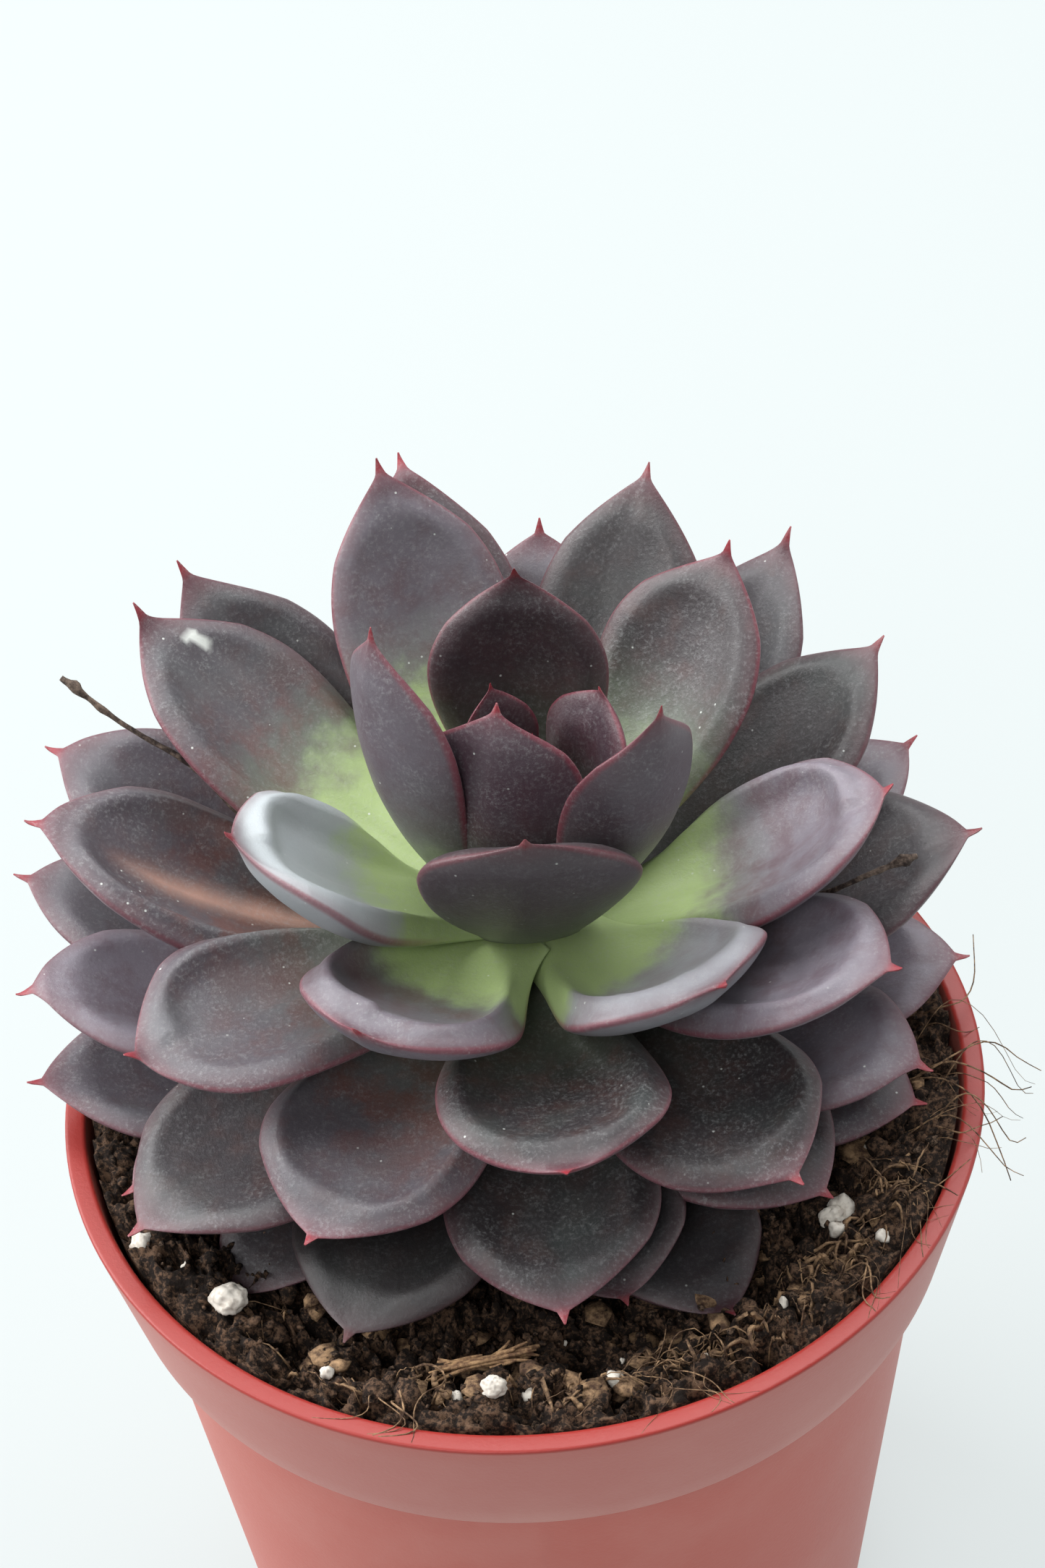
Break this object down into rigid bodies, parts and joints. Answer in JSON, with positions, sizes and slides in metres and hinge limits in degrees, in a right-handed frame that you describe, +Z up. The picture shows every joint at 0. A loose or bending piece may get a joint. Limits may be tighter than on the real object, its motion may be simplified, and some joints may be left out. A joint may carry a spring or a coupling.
{
  "type": "potted succulent",
  "caption": "Dark rosette succulent with overlapping pointed leaves, growing in peat in a tapered round plastic nursery pot with a stepped rim band.",
  "frame": {"origin": "centre of the pot's base, on the surface it stands on", "axes": "+Z up through the rim; -Y towards the viewer, the side the rosette leans to; +X to the viewer's right"},
  "size_m": [0.0944, 0.0958, 0.134],
  "materials": {
    "pot": "thin satin terracotta-coloured plastic",
    "soil": "loose fibrous peat mix",
    "stem": "dull green bark",
    "leaf_outer": "waxy, dark grey-green with a burgundy margin",
    "leaf_middle": "waxy, purple-grey fading to lime green at the base",
    "leaf_inner": "waxy lavender plum with a red margin",
    "dried_stalk": "dry and wrinkled",
    "perlite": "chalky",
    "twig": "broken fibrous wood"
  },
  "bodies": {
    "root": {"dried_stalk_left": "dried_stalk", "dried_stalk_right": "dried_stalk", "leaf_01": "leaf_outer", "leaf_02": "leaf_outer", "leaf_03": "leaf_outer", "leaf_04": "leaf_outer", "leaf_05": "leaf_outer", "leaf_06": "leaf_outer", "leaf_07": "leaf_outer", "leaf_08": "leaf_outer", "leaf_09": "leaf_outer", "leaf_10": "leaf_outer", "leaf_11": "leaf_outer", "leaf_12": "leaf_outer", "leaf_13": "leaf_outer", "leaf_14": "leaf_outer", "leaf_15": "leaf_outer", "leaf_16": "leaf_outer", "leaf_17": "leaf_outer", "leaf_18": "leaf_outer", "leaf_19": "leaf_outer", "leaf_20": "leaf_outer", "leaf_21": "leaf_outer", "leaf_22": "leaf_outer", "leaf_23": "leaf_outer", "leaf_24": "leaf_outer", "leaf_25": "leaf_outer", "leaf_26": "leaf_outer", "leaf_27": "leaf_outer", "leaf_28": "leaf_outer", "leaf_29": "leaf_outer", "leaf_30": "leaf_outer", "leaf_31": "leaf_outer", "leaf_32": "leaf_outer", "leaf_33": "leaf_outer", "leaf_34": "leaf_middle", "leaf_35": "leaf_middle", "leaf_36": "leaf_middle", "leaf_37": "leaf_middle", "leaf_38": "leaf_middle", "leaf_39": "leaf_middle", "leaf_40": "leaf_middle", "leaf_41": "leaf_middle", "leaf_42": "leaf_inner", "leaf_43": "leaf_inner", "leaf_44": "leaf_inner", "leaf_45": "leaf_inner", "leaf_46": "leaf_inner", "leaf_47": "leaf_inner", "leaf_48": "leaf_inner", "leaf_49": "leaf_inner", "perlite_1": "perlite", "perlite_2": "perlite", "perlite_3": "perlite", "pot": "pot", "soil": "soil", "stem": "stem", "twig": "twig"}
  },
  "joints": []
}
